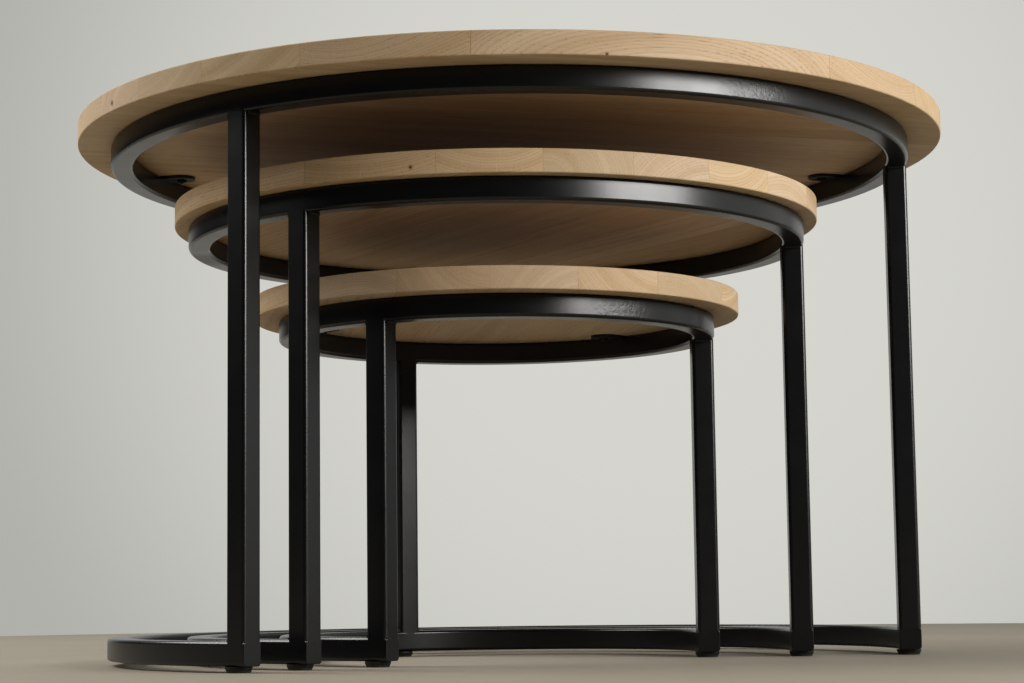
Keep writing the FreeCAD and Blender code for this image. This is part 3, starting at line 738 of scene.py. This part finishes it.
for number, table in enumerate(TABLES):
    low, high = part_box(f"{table}_top")
    middle = stand[table]["middle"]
    cad_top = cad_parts[f"{table}_top"].data
    radius = max((vertex.co.xy - middle).length for vertex in cad_top.vertices)
    level = (low.z + high.z) / 2
    bottom, top = (radius, low.z), (radius, high.z)
    outline = [(0, low.z), *eased(bottom, (0, low.z), top, TOP_EASE, 6),
               *eased(top, bottom, (0, high.z), TOP_EASE, 6), (0, high.z)]
    disc = bpy.data.objects.new(f"{table}_oak_top", lathe(f"{table}_oak_top", outline, RIM_STEPS))
    bpy.context.scene.collection.objects.link(disc)
    disc.data.transform(Matrix.Translation((*middle, 0)))
    seed = 11.0 + 7.0 * number
    disc.data.materials.append(oak(f"{table}_oiled_oak", middle, level, GRAIN_TURN[table],
                                   FIRST_JOINT[table], seed, KNOTS[table]))
    smooth(disc)
    mount(disc, table, "oak", f"{table}_top")


# ---- studio ------------------------------------------------------------------------------------
# A round, pale, matt floor in a pale grey room. One wide soft window stands low to the right
# of the camera, and a larger one hangs high at the far left. The camera stands near the floor
# and looks up a little, under the tops.

FLOOR_REACH = 1.9
FLOOR_THICKNESS = 0.002
FLOOR_STEPS = 128
FLOOR_DARK, FLOOR_PALE = (0.32, 0.285, 0.225), (0.40, 0.362, 0.292)
FLOOR_GRIT = (0.22, 0.19, 0.145)
GRIT_DEPTH = 0.0002


def studio_floor():
    """Matt pale flooring with soft clouds of colour and a fine grit."""
    material, net = new_material("pale_floor")
    place = net.place()
    cloud = net.noise(place, 3.0, 5.0, 0.6)
    grit = net.noise(place, 140.0, 3.0, 0.7)
    colour = net.tint(cloud, FLOOR_DARK, FLOOR_PALE)
    colour = net.tint(net.step(grit, 0.55, 0.75) * 0.25, colour, FLOOR_GRIT)
    surface(net, {"Base Color": colour, "Roughness": 0.75, "Normal": net.bump(grit, GRIT_DEPTH)})
    return material


floor_outline = [(0, -FLOOR_THICKNESS), (FLOOR_REACH, -FLOOR_THICKNESS), (FLOOR_REACH, 0), (0, 0)]
floor_mesh = lathe("studio_floor", floor_outline, FLOOR_STEPS)
floor_mesh.materials.append(studio_floor())
floor = bpy.data.objects.new("studio_floor", floor_mesh)
bpy.context.scene.collection.objects.link(floor)

# The room gives the coat what it mirrors: dark all round, apart from a bright wall at the far
# right and a grey ceiling. Behind the tables hangs grey paper that only the camera sees, with a
# painted pool of light on it, brightest in one fixed direction.
ROOM_DARK = (0.036, 0.038, 0.040)
BRIGHT_WALL = (0.56, 0.56, 0.54)
CEILING = (0.30, 0.295, 0.275)
PAPER_EDGE, PAPER_LIT_MIDDLE = (0.39, 0.39, 0.365), (0.575, 0.575, 0.540)

world = bpy.data.worlds.new("pale_room")
world.use_nodes = True
world.node_tree.nodes.clear()
air = Net(world.node_tree)
east, north, rise = air.parts(air.node("ShaderNodeTexCoord", output="Generated"))
by_wall = air.step(east * 0.891 + north * 0.454, 0.22, 0.58)
by_ceiling = air.step(rise, 0.45, 0.85)
room = air.tint(by_wall, ROOM_DARK, BRIGHT_WALL)
room = air.tint(by_ceiling * 0.8, room, CEILING)
# Painted light on the backdrop paper: it is brighter towards one fixed direction.
painted_light_on_paper = air.step(east * 0.479 + north * 0.864 + rise * 0.156, 0.945, 1.0)
paper = air.tint(painted_light_on_paper, PAPER_EDGE, PAPER_LIT_MIDDLE)
seen = air.node("ShaderNodeLightPath", output="Is Camera Ray")
glow = air.node("ShaderNodeBackground", {}, {"Color": air.tint(seen, room, paper), "Strength": 1.0})
air.node("ShaderNodeOutputWorld", {}, {"Surface": glow})
bpy.context.scene.world = world

AIM = Vector((0, 0, 0.35))
DAYLIGHT = (1.0, 0.985, 0.96)
ROOF_DAYLIGHT = (1.0, 0.985, 0.95)


def soft_light(name, turn, distance, height, width, tall, power, colour):
    """An area light that stands round the tables and faces the middle of the large one."""
    light = bpy.data.lights.new(name, "AREA")
    light.shape = "RECTANGLE"
    light.size = width
    light.size_y = tall
    light.energy = power
    light.color = colour
    lamp = bpy.data.objects.new(name, light)
    lamp.location = (distance * math.cos(turn), distance * math.sin(turn), height)
    aim = AIM - lamp.location
    lamp.rotation_euler = aim.to_track_quat("-Z", "Y").to_euler()
    lamp.visible_camera = False
    bpy.context.scene.collection.objects.link(lamp)


soft_light("window", math.radians(296.5), distance=2.54, height=0.95, width=1.5, tall=0.72,
           power=44, colour=DAYLIGHT)
soft_light("roof_window", math.radians(146), distance=2.5, height=2.2, width=2.4, tall=1.7,
           power=74, colour=ROOF_DAYLIGHT)

CAMERA_PLACE = (-0.88085, -1.87514, 0.0596)
YAW, PITCH, ROLL = -0.43924, 0.11267, -0.01269
camera_data = bpy.data.cameras.new("camera")
camera_data.sensor_width = 36
camera_data.lens = 78.4
camera_data.clip_start = 0.05
camera = bpy.data.objects.new("camera", camera_data)
forward = Vector((-math.sin(YAW) * math.cos(PITCH), math.cos(YAW) * math.cos(PITCH), math.sin(PITCH)))
level_right = Vector((math.cos(YAW), math.sin(YAW), 0))
level_up = level_right.cross(forward)
right = level_right * math.cos(ROLL) + level_up * math.sin(ROLL)
up = level_up * math.cos(ROLL) - level_right * math.sin(ROLL)
axes = Matrix((right, up, -forward)).transposed().to_4x4()
camera.matrix_world = Matrix.Translation(CAMERA_PLACE) @ axes
bpy.context.scene.collection.objects.link(camera)
bpy.context.scene.camera = camera
bpy.context.scene.view_settings.view_transform = "Standard"
bpy.context.scene.view_settings.look = "Medium High Contrast"
